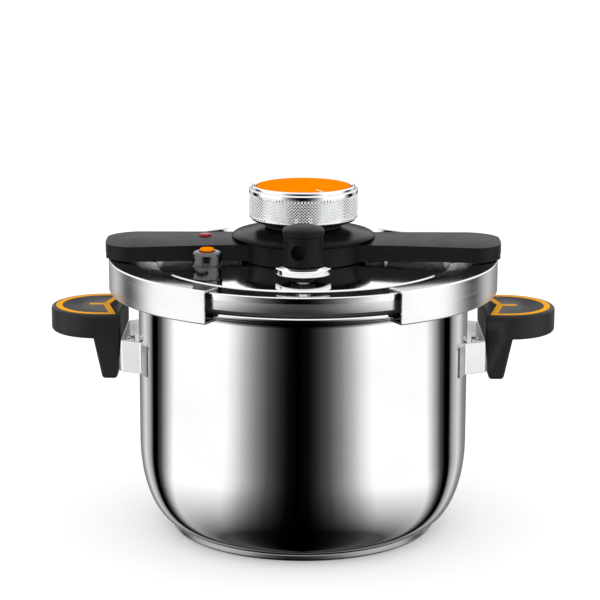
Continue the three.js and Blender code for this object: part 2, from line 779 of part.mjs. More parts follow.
function knobRing() {
  return turned([
    [ringInside, 0.8], [knobRadius - 3.5, 0], [knobRadius - 1.6, 1.4], [knobRadius, 3],
    [knobRadius, knobHeight - 3], [knobRadius - 0.6, knobHeight - 1.4], [bezelRadius + gap, knobHeight],
    [ringInside, bezelBottom - gap],
  ], roundSides);
}

// The black body under the ring, with the neck that stands on the hub cover.
function knobCore() {
  const neckBottom = coverTop + slideGap - knobBottom;
  const core = turned([
    [0, neckBottom],
    [neckRadius - 1, neckBottom],
    [neckRadius, neckBottom + 1],
    [neckRadius, 1.2],
    [ringInside - gap, 2.2],
    [ringInside - gap, coreTop],
    [0, coreTop],
  ], mediumSides);
  return cut(
    core,
    cylinder(shaftRadius + gap, neckBottom - 1, coreTop - 4, smallSides),
    cylinder(2, 0, 100, smallSides),
    cylinder(5, coreTop - 3, 100, smallSides));
}

function knobBezel() {
  return turned([
    [bezelInside, bezelBottom], [ringInside - 0.2, bezelBottom], [bezelRadius, bezelBottom + 0.8],
    [bezelRadius, bezelBottom + bezelHeight - 1.2], [bezelRadius - 1.2, bezelBottom + bezelHeight],
    [bezelInside, bezelBottom + bezelHeight - 0.4],
  ], mediumSides);
}

function pointer(clearance) {
  const outer = bezelInside - pointerInset + clearance;
  const inner = bezelInside - pointerInset - pointerLength - clearance;
  const halfWidth = pointerWidth / 2 + clearance;
  return box([-halfWidth, halfWidth], [-outer, -inner],
    [discTop - pointerDepth - clearance, discTop + clearance * 2]).rotateZ(pointerTurn);
}

const knobDisc = () => cut(
  cylinder(bezelInside - gap, coreTop + gap, discTop, mediumSides), pointer(gap));

function knobScrew() {
  return turned([
    [0, coreTop - 10], [1.7, coreTop - 10], [1.7, coreTop - 2.6],
    [4, coreTop - 2.6], [4, coreTop - 0.2], [0, coreTop - 0.2],
  ], smallSides);
}

const shaftBottom = hubBottom + 0.6;
const shaftTop = knobBottom + coreTop - 4 - gap;

const shaft = () => cut(
  cylinder(shaftRadius, shaftBottom, shaftTop, smallSides),
  cylinder(2, knobBottom + coreTop - 11, beyond, smallSides));

const camDisc = () => cut(
  cylinder(camRadius, camBottom, camTop, mediumSides),
  cylinder(shaftRadius + gap, 0, beyond, smallSides),
  camSlot(0),
  camSlot(Math.PI));

// The spindle's lower bearing stands on the lid and its upper one is pressed into the hub.
const lowerBush = () => turned([
  [shaftRadius + slideGap, hubBottom], [shaftRadius + 4, hubBottom], [shaftRadius + 4, hubBottom + 1.2],
  [shaftRadius + 2.4, hubBottom + 1.2], [shaftRadius + 2.4, camBottom - slideGap],
  [shaftRadius + slideGap, camBottom - slideGap],
], smallSides);

add(knob, 'cam_disc', camDisc(), plainSteel);
add(knob, 'knob_shaft', shaft(), plainSteel);
add(knobHead, 'knob_ring', knobRing(), chrome);
add(knobHead, 'knob_core', knobCore(), bakelite);
add(knobHead, 'knob_bezel', knobBezel(), chrome);
add(knobHead, 'knob_disc', knobDisc(), orangePlastic);
add(knobHead, 'knob_pointer', pointer(0), chrome);
add(knobHead, 'knob_screw', knobScrew(), plainSteel);
add(lid, 'shaft_bush_lower', lowerBush(), brass);
add(lid, 'shaft_bush_upper',
  tube(shaftRadius + slideGap, upperBushRadius, cavityTop, coverTop - 1, smallSides), brass);

// ---------------------------------------------------------------- pressure regulator

// Heights here are from the top of the lid's crown.
const regulator = new THREE.Group();
regulator.position.set(...regulatorAt, crownTop);
lid.add(regulator);

const weightBottom = collarLift + collarHeight + slideGap;
const ventTop = collarLift + ventStandsUp;
const threadBottom = -lidSheet - 6.5;

const ventStem = () => cut(
  turned([
    [0, threadBottom], [ventRadius, threadBottom], [ventRadius, ventTop - 1.5],
    [ventRadius - 1.5, ventTop], [0, ventTop],
  ], smallSides),
  cylinder(ventBore, threadBottom - 1, ventTop + 1, smallSides));

const ventPad = () => turned([
  [ventRadius + gap, gap], [padRadius, gap], [padRadius, padHeight + gap],
  [ventRadius + gap, padHeight + gap],
], mediumSides);

// A dished chrome nut that clamps the vent to the lid.
const ventCollar = () => turned([
  [ventRadius + gap, collarLift],
  [collarRadius - 0.6, collarLift],
  [collarRadius, collarLift + 0.6],
  [collarRadius, collarLift + collarHeight - 1.2],
  [weightRadius + 1, collarLift + collarHeight],
  [ventRadius + gap, collarLift + collarHeight],
], mediumSides);

const ventNut = () => hexNut(ventRadius + gap, 20, threadBottom + 1, -lidSheet - gap);

// A thimble with cross slots that keeps food out of the vent.
function ventGuard() {
  const inside = ventRadius + gap;
  const cup = turned([
    [0, threadBottom - 8], [inside, threadBottom - 8], [inside + 1.2, threadBottom - 7],
    [inside + 1.2, threadBottom + 1 - gap], [inside, threadBottom + 1 - gap],
    [inside, threadBottom - 6.5], [0, threadBottom - 6.5],
  ], smallSides);
  const slots = [0, 1, 2].map(i => box([-20, 20], [-0.9, 0.9], [threadBottom - 5.5, threadBottom - 1.5])
    .rotateZ(i * Math.PI / 3));
  return cut(cup, ...slots);
}

// The port in the side of the weight, which points a little to the left of the front.
const steamPort = () => cylinder(portRadius, 0, 2 * weightRadius, smallSides)
  .rotateX(Math.PI / 2).rotateZ(portTurn).translate(0, 0, weightBottom + portHeight);

const regulatorWeight = () => cut(
  turned([
    [0, weightBottom],
    [weightRadius - 1, weightBottom],
    [weightRadius, weightBottom + 1],
    [weightRadius, weightBottom + weightHeight - weightCapHeight],
    [0, weightBottom + weightHeight - weightCapHeight],
  ], mediumSides),
  cylinder(ventRadius + 1.2, weightBottom - 1, weightBottom + 16, smallSides),
  steamPort());

const regulatorCap = () => turned([
  [0, weightBottom + weightHeight - weightCapHeight + gap],
  [weightRadius + 0.6, weightBottom + weightHeight - weightCapHeight + gap],
  [weightRadius + 0.8, weightBottom + weightHeight - 3.6],
  [weightRadius - 1.5, weightBottom + weightHeight - 1.2],
  [weightRadius - 6, weightBottom + weightHeight],
  [0, weightBottom + weightHeight],
], mediumSides);

add(regulator, 'vent_stem', ventStem(), chrome);
add(regulator, 'vent_pad', ventPad(), silicone);
add(regulator, 'vent_collar', ventCollar(), chrome);
add(regulator, 'vent_nut', ventNut(), plainSteel);
add(regulator, 'vent_guard', ventGuard(), plainSteel);
add(regulator, 'regulator_weight', regulatorWeight(), bakelite);
add(regulator, 'regulator_cap', regulatorCap(), bakelite);

// ---------------------------------------------------------------- spring safety valve

const safety = new THREE.Group();
safety.position.set(...safetyAt, crownTop);
lid.add(safety);

const plungerRodRadius = 2;
const plungerDisc = safetyRadius - safetyWall - 0.8;
const safetyRoof = safetyHeight - 2.6;
const safetyFloor = 4;

function safetyBody() {
  const body = turned([
    [0, threadBottom], [safetyStem, threadBottom], [safetyStem, gap], [safetyRadius - 0.6, gap],
    [safetyRadius, gap + 0.8], [safetyRadius, safetyHeight / 2 - 0.6], [safetyRadius - 0.7, safetyHeight / 2],
    [safetyRadius, safetyHeight / 2 + 0.6], [safetyRadius, safetyHeight - 2],
    [safetyRadius - 3, safetyHeight], [0, safetyHeight],
  ], mediumSides);
  const sides = 6;
  const vents = [0.28, 0.72].flatMap(level => Array.from({ length: sides / 2 }, (_, i) => box(
    [-20, 20], [-1.1, 1.1], [safetyHeight * level - 1.4, safetyHeight * level + 1.4])
    .rotateZ((i + 0.5) * 2 * Math.PI / sides)));
  const room = safetyRadius - safetyWall;
  return cut(
    body,
    cylinder(room, safetyFloor, safetyRoof, mediumSides),
    cylinder(safetyCapRadius + slideGap, safetyRoof - 1, 100, smallSides),
    cylinder(plungerRodRadius + slideGap, threadBottom - 1, safetyRoof, smallSides),
    ...vents.map(vent => cut(vent, cylinder(room - 1, 0, 40, smallSides))));
}

const safetyCapRadius = 5;
const springTop = safetyRoof - 0.4;
const plungerDiscTop = safetyFloor + 2.2;
const springBottom = plungerDiscTop + 0.3;

const safetyPlunger = () => turned([
  [0, threadBottom + 1], [plungerRodRadius, threadBottom + 1], [plungerRodRadius, safetyFloor + 0.4],
  [plungerDisc, safetyFloor + 0.4], [plungerDisc, plungerDiscTop], [plungerRodRadius, plungerDiscTop],
  [plungerRodRadius, safetyHeight], [0, safetyHeight],
], smallSides);

const safetyCap = () => turned([
  [0, safetyHeight + gap], [safetyCapRadius, safetyHeight + gap], [safetyCapRadius, safetyHeight + 1.6],
  [safetyCapRadius - 0.8, safetyHeight + 2.2], [0, safetyHeight + 2.2],
], mediumSides);

class Helix extends THREE.Curve {
  constructor(radius, bottom, top, turns) {
    super();
    Object.assign(this, { radius, bottom, top, turns });
  }

  getPoint(share, target = new THREE.Vector3()) {
    const angle = share * this.turns * 2 * Math.PI;
    return target.set(...polar(this.radius, angle), this.bottom + (this.top - this.bottom) * share);
  }
}

function safetySpring() {
  const wire = new THREE.Shape().absarc(0, 0, springWire / 2, 0, 2 * Math.PI, false);
  const turns = 3.5;
  const path = new Helix(4.1, springBottom + springWire / 2, springTop - springWire / 2, turns);
  const outline = new THREE.Shape(wire.getPoints(3));
  return new THREE.ExtrudeGeometry(outline, { steps: 12 * turns, extrudePath: path, bevelEnabled: false });
}

add(safety, 'safety_body', safetyBody(), chrome);
add(safety, 'safety_nut', hexNut(safetyStem + gap, 16, threadBottom + 1.5, -lidSheet - gap), plainSteel);
add(safety, 'safety_plunger', safetyPlunger(), plainSteel);
add(safety, 'safety_spring', safetySpring(), plainSteel);
add(safety, 'safety_cap', safetyCap(), orangePlastic);

export default canner;
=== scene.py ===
# The visual model of the clamp-lid pressure canner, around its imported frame.
# The pieces are shaped in millimetres and scaled to metres when they are finished.
import math

import bmesh
import bpy
from mathutils import Matrix, Vector


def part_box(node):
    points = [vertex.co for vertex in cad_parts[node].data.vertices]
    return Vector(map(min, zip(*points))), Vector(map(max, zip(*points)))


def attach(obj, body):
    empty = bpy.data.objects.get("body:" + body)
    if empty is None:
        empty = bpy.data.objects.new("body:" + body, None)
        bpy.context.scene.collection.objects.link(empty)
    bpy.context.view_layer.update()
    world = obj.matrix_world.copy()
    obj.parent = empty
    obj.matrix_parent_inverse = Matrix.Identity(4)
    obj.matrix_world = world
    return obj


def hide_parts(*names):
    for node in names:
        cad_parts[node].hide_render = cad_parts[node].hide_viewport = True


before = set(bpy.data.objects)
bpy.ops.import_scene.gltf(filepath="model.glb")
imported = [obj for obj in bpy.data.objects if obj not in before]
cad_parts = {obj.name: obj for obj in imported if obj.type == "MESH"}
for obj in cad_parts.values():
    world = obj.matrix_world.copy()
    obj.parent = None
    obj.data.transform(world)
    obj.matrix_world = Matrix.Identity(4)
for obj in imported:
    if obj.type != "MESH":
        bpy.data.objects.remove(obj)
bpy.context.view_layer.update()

MM = 0.001
TURN = 2 * math.pi
UP = Vector((0, 0, 1))
SHARP = 38                     # degrees past which two faces meet in a sharp edge


# ---------------------------------------------------------------- sizes, in millimetres, beyond the frame's

VESSEL_WALL = 1.2
RIM_OVERHANG = 10.8
RIM_DEPTH = 5.3
NECK_HEIGHT = 4.2
CORNER_REACH = 27
CORNER_HEIGHT = 60
BRACKET_SHEET = 2
BRACKET_HALF_WIDTH = 33
BRACKET_FOOT = 40
BRACKET_LET_IN = 1.2           # how far its plate stands into the handle's apron
GRIP_HEIGHT = 18
APRON_DEPTH = 17.2
APRON_TAPER = 3.2
APRON_BLEND = 3                # from the apron's face to the flat under the grip
INLAY_INSET = 3.2
INLAY_WIDTH = 5
INLAY_NOTCH = 7.8
INLAY_DEPTH = 1.2
INLAY_STEM = 13
INLAY_PROUD = 0.15
LID_SHEET = 1.5
FLANGE_REACH = 29
FLANGE_STEP = 0.7              # lid's edge below the middle of its crown
CROWN_FALL = 2.2               # from the middle of the crown to its edge
CROWN_STEP = 0.6               # down to the flange
CURL_DROP = 4.6
TAB_HALF_WIDTH = 63.8
JAW_SHEET = 1.8
JAW_LIP_FALL = 0.7
JAW_TOP_REACH = 18
JAW_BOTTOM_REACH = 15.5
JAW_HALF_ANGLE = math.radians(62)
BRIDGE_WAIST = 26
BRIDGE_WAIST_AT = 60
BRIDGE_HALF_WIDTH = 31
BRIDGE_CORNER = 22
BRIDGE_DOME = 2.9
BRIDGE_DOME_LINES = (6, 12, 17, 22, 26, 29)
BRIDGE_DROOP = 2.4             # how far the two ends fall
BRIDGE_DROOP_OVER = 24
BRIDGE_DROOP_STEPS = 8
BRIDGE_BOTTOM = 203.5
BRIDGE_WALL = 2.6
ARM_TUNNEL = (14.1, 207.2)     # half its width, and its top
HUB_TOP = 216.0
FLOAT_HOLE = 3.8
KNURL_PITCH = 2.4
KNURL_ROWS = 8
KNURL_DEPTH = 1.15
MARK_LENGTH = 11
MARK_TURN = math.radians(26)
VENT_BORE = 6.3
PORT_RADIUS = 5.4
PORT_HEIGHT = 10               # above the regulator's foot
PORT_TURN = math.radians(-16)
SLOT_LEVELS = (0.28, 0.72)     # the safety valve's two rows of slots, as shares of its height
SLOT_HALF_WIDTH = 1.25
SLOT_HALF_HEIGHT = 1.35


def span(node):
    """A node's lowest and highest corners, in millimetres."""
    low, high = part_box(node)
    return low / MM, high / MM


def middle(node):
    low, high = span(node)
    return (low + high) / 2


# ---------------------------------------------------------------- shaping

def round_corner(bm, vertex, radius, segments=4):
    bmesh.ops.bevel(bm, geom=[vertex], offset=radius, offset_type="OFFSET", segments=segments,
                    profile=0.5, affect="VERTICES", material=-1)


def wire(points, closed=True):
    """A bmesh wire in the XZ plane through (x, z) points. A third number rounds that corner."""
    bm = bmesh.new()
    corners = [bm.verts.new((point[0], 0, point[1])) for point in points]
    following = corners[1:] + corners[:1] if closed else corners[1:]
    for corner, after in zip(corners, following):
        bm.edges.new((corner, after))
    for corner, point in zip(corners, points):
        if len(point) > 2:
            round_corner(bm, corner, point[2])
    return bm


def points_of(items):
    return [item for item in items if isinstance(item, bmesh.types.BMVert)]


def open_edges(bm):
    return [edge for edge in bm.edges if edge.is_boundary]


def clean(bm):
    bmesh.ops.remove_doubles(bm, verts=bm.verts, dist=1e-4)
    bmesh.ops.recalc_face_normals(bm, faces=bm.faces)
    return bm


def turned(points, closed=True, steps=128):
    """A round piece about Z from its (radius, height) section."""
    bm = wire(points, closed)
    bmesh.ops.spin(bm, geom=bm.verts[:] + bm.edges[:], cent=(0, 0, 0), axis=UP, angle=TURN,
                   steps=steps, use_merge=True)
    return clean(bm)


def sector(points, from_angle, to_angle, steps):
    """A closed section turned part of the way round Z, with its two ends filled."""
    bm = wire(points)
    bmesh.ops.rotate(bm, verts=bm.verts, cent=(0, 0, 0), matrix=Matrix.Rotation(from_angle, 3, "Z"))
    bmesh.ops.spin(bm, geom=bm.verts[:] + bm.edges[:], cent=(0, 0, 0), axis=UP,
                   angle=to_angle - from_angle, steps=steps)
    bmesh.ops.holes_fill(bm, edges=open_edges(bm), sides=0)
    return clean(bm)


def quarter(start, end, steps=14):
    """A quarter of an ellipse that leaves its first point upright."""
    angles = [step / steps * math.pi / 2 for step in range(steps + 1)]
    return [(end[0] + (start[0] - end[0]) * math.cos(angle),
             start[1] + (end[1] - start[1]) * math.sin(angle)) for angle in angles]


def box_of(low, high):
    bm = bmesh.new()
    bmesh.ops.create_cube(bm, size=1)
    low, high = Vector(low), Vector(high)
    bmesh.ops.scale(bm, vec=high - low, verts=bm.verts)
    bmesh.ops.translate(bm, vec=(high + low) / 2, verts=bm.verts)
    return bm


def rod(radius, low, high, steps=48):
    return turned([(0, low), (radius, low), (radius, high), (0, high)], closed=False, steps=steps)


def bevel_sharp(bm, radius, segments=3, angle=30, where=lambda edge: True):
    edges = [edge for edge in bm.edges if len(edge.link_faces) == 2
             and edge.calc_face_angle() > math.radians(angle) and where(edge)]
    bmesh.ops.bevel(bm, geom=edges, offset=radius, offset_type="OFFSET", segments=segments,
                    profile=0.5, affect="EDGES", material=-1, clamp_overlap=True)
    return bm


def around_faces(faces):
    """The faces with their edges and corners, each once."""
    return list({item for face in faces for item in (face, *face.edges, *face.verts)})


def score(bm, place, direction, geom=None):
    """Adds edges where a plane crosses the mesh."""
    bmesh.ops.bisect_plane(bm, geom=geom or bm.verts[:] + bm.edges[:] + bm.faces[:],
                           plane_co=place, plane_no=direction)


def raised(bm, faces, height):
    """Extrudes faces straight up, or down."""
    grown = bmesh.ops.extrude_face_region(bm, geom=faces)["geom"]
    bmesh.ops.translate(bm, vec=(0, 0, height), verts=points_of(grown))


def move(bm, x=0, y=0, z=0):
    bmesh.ops.translate(bm, vec=(x, y, z), verts=bm.verts)
    return bm


def turn(bm, angle, axis="Z"):
    bmesh.ops.rotate(bm, verts=bm.verts, cent=(0, 0, 0), matrix=Matrix.Rotation(angle, 3, axis))
    return bm


def absorb(bm, *others):
    """Adds the other meshes' surfaces to this one."""
    for other in others:
        mesh = bpy.data.meshes.new("part")
        other.to_mesh(mesh)
        other.free()
        bm.from_mesh(mesh)
        bpy.data.meshes.remove(mesh)
    return bm


def show(bm, name, material, sharp=SHARP):
    """Turns a finished bmesh into an object in metres, with smooth shading up to a sharp angle."""
    bmesh.ops.scale(bm, vec=(MM, MM, MM), verts=bm.verts)
    mesh = bpy.data.meshes.new(name)
    bm.to_mesh(mesh)
    bm.free()
    mesh.materials.append(material)
    mesh.shade_smooth()
    mesh.set_sharp_from_angle(angle=math.radians(sharp))
    piece = bpy.data.objects.new(name, mesh)
    bpy.context.scene.collection.objects.link(piece)
    return piece


def carve(piece, cutter):
    """Cuts a bmesh shape out of a piece."""
    tool = show(cutter, "cutter", piece.data.materials[0])
    cut = piece.modifiers.new("cut", "BOOLEAN")
    cut.operation, cut.object, cut.solver = "DIFFERENCE", tool, "EXACT"
    scene = bpy.context.evaluated_depsgraph_get()
    mesh = bpy.data.meshes.new_from_object(piece.evaluated_get(scene))
    piece.modifiers.clear()
    mesh.set_sharp_from_angle(angle=math.radians(SHARP))
    piece.data = mesh
    bpy.data.objects.remove(tool)
    return piece


def show_round(section, name, material, centre=None, closed=False, steps=128):
    """A turned piece as an object, on the axis through its centre."""
    bm = turned(section, closed, steps)
    if centre is not None:
        move(bm, centre.x, centre.y)
    return show(bm, name, material)


def install(piece, body, slot, *nodes):
    """Keeps the flats flat beside their rounded edges, and joins the piece to its body."""
    flats = piece.modifiers.new("flats", "WEIGHTED_NORMAL")
    flats.keep_sharp = True
    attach(piece, body)
    if nodes:
        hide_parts(*nodes)
    return piece


# ---------------------------------------------------------------- materials

def base_material(name, colour, roughness, metallic=0.0, gloss=0.5):
    made = bpy.data.materials.new(name)
    made.use_nodes = True
    shader = made.node_tree.nodes["Principled BSDF"]
    shader.inputs["Base Color"].default_value = (*colour, 1)
    shader.inputs["Roughness"].default_value = roughness
    shader.inputs["Metallic"].default_value = metallic
    shader.inputs["Specular IOR Level"].default_value = gloss
    return made, shader


def grain(made, scale, detail=4, stretch=(1, 1, 1)):
    """Noise on the piece's own coordinates, which can be drawn out along an axis."""
    nodes, links = made.node_tree.nodes, made.node_tree.links
    place = nodes.new("ShaderNodeTexCoord")
    mapping = nodes.new("ShaderNodeMapping")
    mapping.inputs["Scale"].default_value = stretch
    noise = nodes.new("ShaderNodeTexNoise")
    noise.inputs["Scale"].default_value = scale
    noise.inputs["Detail"].default_value = detail
    links.new(place.outputs["Object"], mapping.inputs["Vector"])
    links.new(mapping.outputs["Vector"], noise.inputs["Vector"])
    return noise.outputs["Fac"]


def spread(made, source, low, high):
    """Maps noise onto a range of values."""
    ranged = made.node_tree.nodes.new("ShaderNodeMapRange")
    ranged.inputs["From Min"].default_value = 0.3
    ranged.inputs["From Max"].default_value = 0.7
    ranged.inputs["To Min"].default_value = low
    ranged.inputs["To Max"].default_value = high
    made.node_tree.links.new(source, ranged.inputs["Value"])
    return ranged.outputs["Result"]


def tint(made, source, first, second):
    """Maps noise onto a mix of two colours."""
    ramp = made.node_tree.nodes.new("ShaderNodeValToRGB")
    ramp.color_ramp.elements[0].position = 0.3
    ramp.color_ramp.elements[1].position = 0.7
    ramp.color_ramp.elements[0].color = (*first, 1)
    ramp.color_ramp.elements[1].color = (*second, 1)
    made.node_tree.links.new(source, ramp.inputs["Fac"])
    return ramp.outputs["Color"]


def relief(made, shader, source, strength, depth):
    bump = made.node_tree.nodes.new("ShaderNodeBump")
    bump.inputs["Strength"].default_value = strength
    bump.inputs["Distance"].default_value = depth
    made.node_tree.links.new(source, bump.inputs["Height"])
    made.node_tree.links.new(bump.outputs["Normal"], shader.inputs["Normal"])


def metal(name, dark, light, rough, brushed=(1, 1, 1), depth=0.0):
    """A metal whose polish varies a little, with its marks drawn out along the brushing."""
    made, shader = base_material(name, light, rough[0], metallic=1.0)
    cloudy = grain(made, scale=22, detail=3)
    marks = grain(made, scale=260, detail=5, stretch=brushed)
    links = made.node_tree.links
    links.new(tint(made, cloudy, dark, light), shader.inputs["Base Color"])
    links.new(spread(made, marks, *rough), shader.inputs["Roughness"])
    if depth:
        relief(made, shader, marks, 0.4, depth)
    return made


def plastic(name, first, second, rough, gloss, pores=0.00002, scale=900):
    """A moulded material with a fine skin."""
    made, shader = base_material(name, first, rough[0], gloss=gloss)
    cloudy = grain(made, scale=35, detail=4)
    skin = grain(made, scale=scale, detail=3)
    links = made.node_tree.links
    links.new(tint(made, cloudy, first, second), shader.inputs["Base Color"])
    links.new(spread(made, cloudy, *rough), shader.inputs["Roughness"])
    relief(made, shader, skin, 0.5, pores)
    return made


AROUND = (0.05, 0.05, 1)       # marks that run level round the piece
EVEN = (1, 1, 1)
POLISHED = metal("polished_steel", (0.78, 0.79, 0.80), (0.84, 0.845, 0.85), (0.035, 0.075), AROUND)
LID_STEEL = metal("lid_steel", (0.78, 0.79, 0.80), (0.84, 0.845, 0.85), (0.05, 0.10), AROUND)
SATIN = metal("satin_steel", (0.78, 0.785, 0.79), (0.85, 0.855, 0.86), (0.28, 0.34), AROUND, 0.00001)
JAW_STEEL = metal("jaw_steel", (0.80, 0.805, 0.81), (0.86, 0.865, 0.87), (0.22, 0.28), AROUND, 0.00001)
BRUSHED = metal("brushed_base", (0.34, 0.34, 0.35), (0.42, 0.42, 0.43), (0.24, 0.34), AROUND, 0.00002)
PLAIN = metal("plain_steel", (0.56, 0.57, 0.58), (0.66, 0.665, 0.67), (0.25, 0.40), EVEN, 0.00001)
CHROME = metal("chrome_plate", (0.80, 0.81, 0.82), (0.86, 0.865, 0.87), (0.03, 0.07))
GUNMETAL = metal("valve_plate", (0.09, 0.09, 0.092), (0.15, 0.15, 0.153), (0.10, 0.18))
ALUMINIUM = metal("rolled_aluminium", (0.66, 0.67, 0.68), (0.74, 0.745, 0.75), (0.35, 0.5), EVEN, 0.00002)
BRASS = metal("machined_brass", (0.70, 0.50, 0.20), (0.80, 0.60, 0.28), (0.18, 0.3), AROUND, 0.00001)
PHENOLIC = plastic("moulded_phenolic", (0.015, 0.015, 0.016), (0.021, 0.021, 0.022), (0.36, 0.46), 0.18)
BEAM_BLACK = plastic("beam_phenolic", (0.005, 0.005, 0.006), (0.009, 0.009, 0.010), (0.36, 0.46), 0.14)
COVER_BLACK = plastic("gloss_phenolic", (0.006, 0.006, 0.007), (0.009, 0.009, 0.010), (0.16, 0.24), 0.04)
VALVE_BLACK = plastic("valve_phenolic", (0.007, 0.007, 0.008), (0.010, 0.010, 0.011), (0.3, 0.4), 0.10)
# The grey on the handles' top face is painted sheen. It stands in for the light that the top catches from
# above.
PAINTED_SHEEN_PANEL = plastic("grey_top_painted_sheen", (0.26, 0.26, 0.265), (0.30, 0.30, 0.305), (0.5, 0.6), 0.12, 0.00004, 1400)
ORANGE = plastic("orange_plastic", (0.94, 0.235, 0.0), (0.97, 0.255, 0.001), (0.45, 0.55), 0.0, 0.00001)
AMBER = plastic("orange_rubber", (0.95, 0.40, 0.004), (0.99, 0.45, 0.008), (0.5, 0.6), 0.02, 0.00003)
RED = plastic("red_plastic", (0.30, 0.0, 0.006), (0.38, 0.002, 0.010), (0.10, 0.18), 0.25, 0.00001)
SEAL = plastic("grey_silicone", (0.03, 0.03, 0.032), (0.045, 0.045, 0.048), (0.5, 0.62), 0.2, 0.00003)


# ---------------------------------------------------------------- vessel

def vessel():
    low, high = span("vessel_shell")
    rim = high.x
    wall = rim - RIM_OVERHANG
    inside = wall - VESSEL_WALL
    floor, top = low.z, high.z
    under_rim = top - RIM_DEPTH
    neck = under_rim - NECK_HEIGHT
    flat = wall - CORNER_REACH
    corner = floor + CORNER_HEIGHT
    outside_corner = quarter((wall, corner), (flat, floor))
    inside_corner = quarter((inside, corner), (flat, floor + VESSEL_WALL))
    section = [
        (0, floor), *reversed(outside_corner), (wall, neck, 1.5), (wall + 2.4, under_rim, 1.0),
        (rim, under_rim, 2.4), (rim, top, 2.4), (inside + 1, top, 1.0), (inside, top - 6, 1.0),
        *inside_corner, (0, floor + VESSEL_WALL)]
    install(show_round(section, "vessel", POLISHED, steps=192), "pot", "polished_steel", "vessel_shell")


def base():
    """A shallow cap, with a groove round its foot."""
    high = span("base_cap")[1]
    edge, top = high.x, high.z
    inside, sheet = edge - 2.4, 0.9
    section = [
        (0, 0), (edge - 14, 0), (edge - 12, 0.6, 0.8), (edge - 10, 0, 0.8), (edge, 0, 1.8),
        (edge, top, 1.2), (inside, top), (inside, sheet), (0, sheet)]
    piece = show_round(section, "base_cap_spun", BRUSHED, steps=160)
    install(piece, "pot", "polished_steel", "base_cap")


# ---------------------------------------------------------------- side handles

def bracket(side, angle):
    """A folded strip: a plate at the handle, two walls that splay to the vessel, and two flanges."""
    node = f"handle_bracket_{side}"
    low, high = span(node)
    half_sheet = BRACKET_SHEET / 2
    plate_at = max(high.x, -low.x) + BRACKET_LET_IN
    clearance = 0.3
    wall = span("vessel_shell")[1].x - RIM_OVERHANG + clearance + half_sheet
    foot = BRACKET_FOOT - half_sheet
    flange_end = high.y
    level = low.z
    bm = bmesh.new()
    flange_steps = 5
    flange = [flange_end - (flange_end - foot) * step / flange_steps for step in range(flange_steps + 1)]
    front = [(math.sqrt(wall ** 2 - y ** 2), -y) for y in flange]
    corner = (plate_at, -(BRACKET_HALF_WIDTH - half_sheet))
    plan = front + [corner] + [(x, -y) for x, y in reversed(front + [corner])]
    strip = [bm.verts.new((x, y, level)) for x, y in plan]
    for first, second in zip(strip, strip[1:]):
        bm.edges.new((first, second))
    foot_bend, plate_bend = 2.0, 2.6
    bends = strip[flange_steps:flange_steps + 4]
    for bend, radius in zip(bends, (foot_bend, plate_bend, plate_bend, foot_bend)):
        round_corner(bm, bend, radius, 6)
    grown = bmesh.ops.extrude_edge_only(bm, edges=bm.edges[:])["geom"]
    bmesh.ops.translate(bm, vec=(0, 0, high.z - level), verts=points_of(grown))
    clean(bm)
    turn(bm, angle)
    piece = show(bm, f"bracket_{side}", SATIN, sharp=50)
    sheet = piece.modifiers.new("sheet", "SOLIDIFY")
    sheet.thickness, sheet.offset = BRACKET_SHEET * MM, 0
    edges = piece.modifiers.new("edges", "BEVEL")
    edges.width, edges.segments, edges.limit_method = 0.35 * MM, 2, "ANGLE"
    piece.visible_glossy = False
    install(piece, "pot", "polished_steel", node)


def grip_face(inner, tip, half_width, level):
    """A D-shaped face: straight at the vessel and round at the tip."""
    bm = bmesh.new()
    centre = tip - half_width
    first = bm.verts.new((centre, -half_width, level))
    bmesh.ops.spin(bm, geom=[first], cent=(centre, 0, level), axis=UP, angle=math.pi, steps=32)
    bm.verts.ensure_lookup_table()
    last = min(bm.verts, key=lambda v: (v.co - Vector((centre, half_width, level))).length)
    near = bm.verts.new((inner, -half_width, level))
    far = bm.verts.new((inner, half_width, level))
    for pair in ((first, near), (near, far), (far, last)):
        bm.edges.new(pair)
    bmesh.ops.edgeloop_fill(bm, edges=bm.edges)
    return bm


def notched_band(bm, face, inset):
    """Insets a band into a D-shaped face, with a notch on its straight side. Returns the band's faces."""
    bmesh.ops.inset_region(bm, faces=[face], thickness=inset, use_even_offset=True, use_boundary=True)
    straight = min((edge for edge in face.edges if abs(edge.verts[0].co.x - edge.verts[1].co.x) < 0.01),
                   key=lambda edge: edge.verts[0].co.x)
    notch = points_of(bmesh.ops.subdivide_edges(bm, edges=[straight], cuts=1)["geom_inner"])[0]
    notch.co.x += INLAY_NOTCH
    face = max(notch.link_faces, key=lambda around: around.calc_area())
    return bmesh.ops.inset_region(bm, faces=[face], thickness=INLAY_WIDTH, use_even_offset=True,
                                  use_boundary=True)["faces"]


def top_face(bm, band=()):
    """The largest face that looks straight up, apart from a band's."""
    return max((face for face in bm.faces if face.normal.z > 0.99 and face not in band),
               key=lambda face: face.calc_area())


